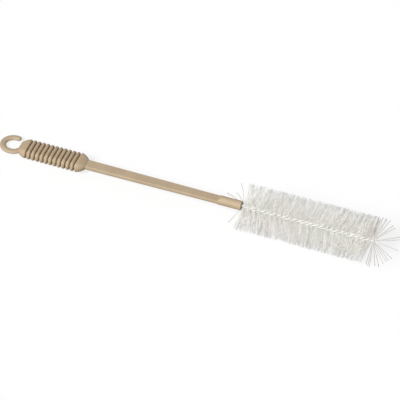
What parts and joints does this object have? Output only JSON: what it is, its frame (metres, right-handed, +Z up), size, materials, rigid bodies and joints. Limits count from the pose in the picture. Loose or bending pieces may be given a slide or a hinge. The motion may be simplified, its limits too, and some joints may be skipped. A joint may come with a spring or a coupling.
{
  "type": "bottle brush",
  "caption": "Long bottle brush: a ribbed plastic grip with a hanging hook and flattened shaft, and a twisted-wire head of round nylon bristles with a fanned tip.",
  "frame": {"origin": "centre of the bounding box's base, on the surface the brush lies on", "axes": "+X along the brush from the hook towards the bristled tip, +Y across the flat of the grip, +Z up; the tip is tilted up by the head's radius as the brush lies at rest"},
  "size_m": [0.4347, 0.05, 0.0602],
  "materials": {
    "handle_plastic": "moulded beige polypropylene, satin",
    "coated_wire": "white coated steel wire, smooth",
    "nylon": "white translucent nylon filament"
  },
  "bodies": {
    "root": {"handle": "handle_plastic", "twisted_wire": "coated_wire", "bristles": "nylon", "tip_tuft": "nylon"}
  },
  "joints": []
}
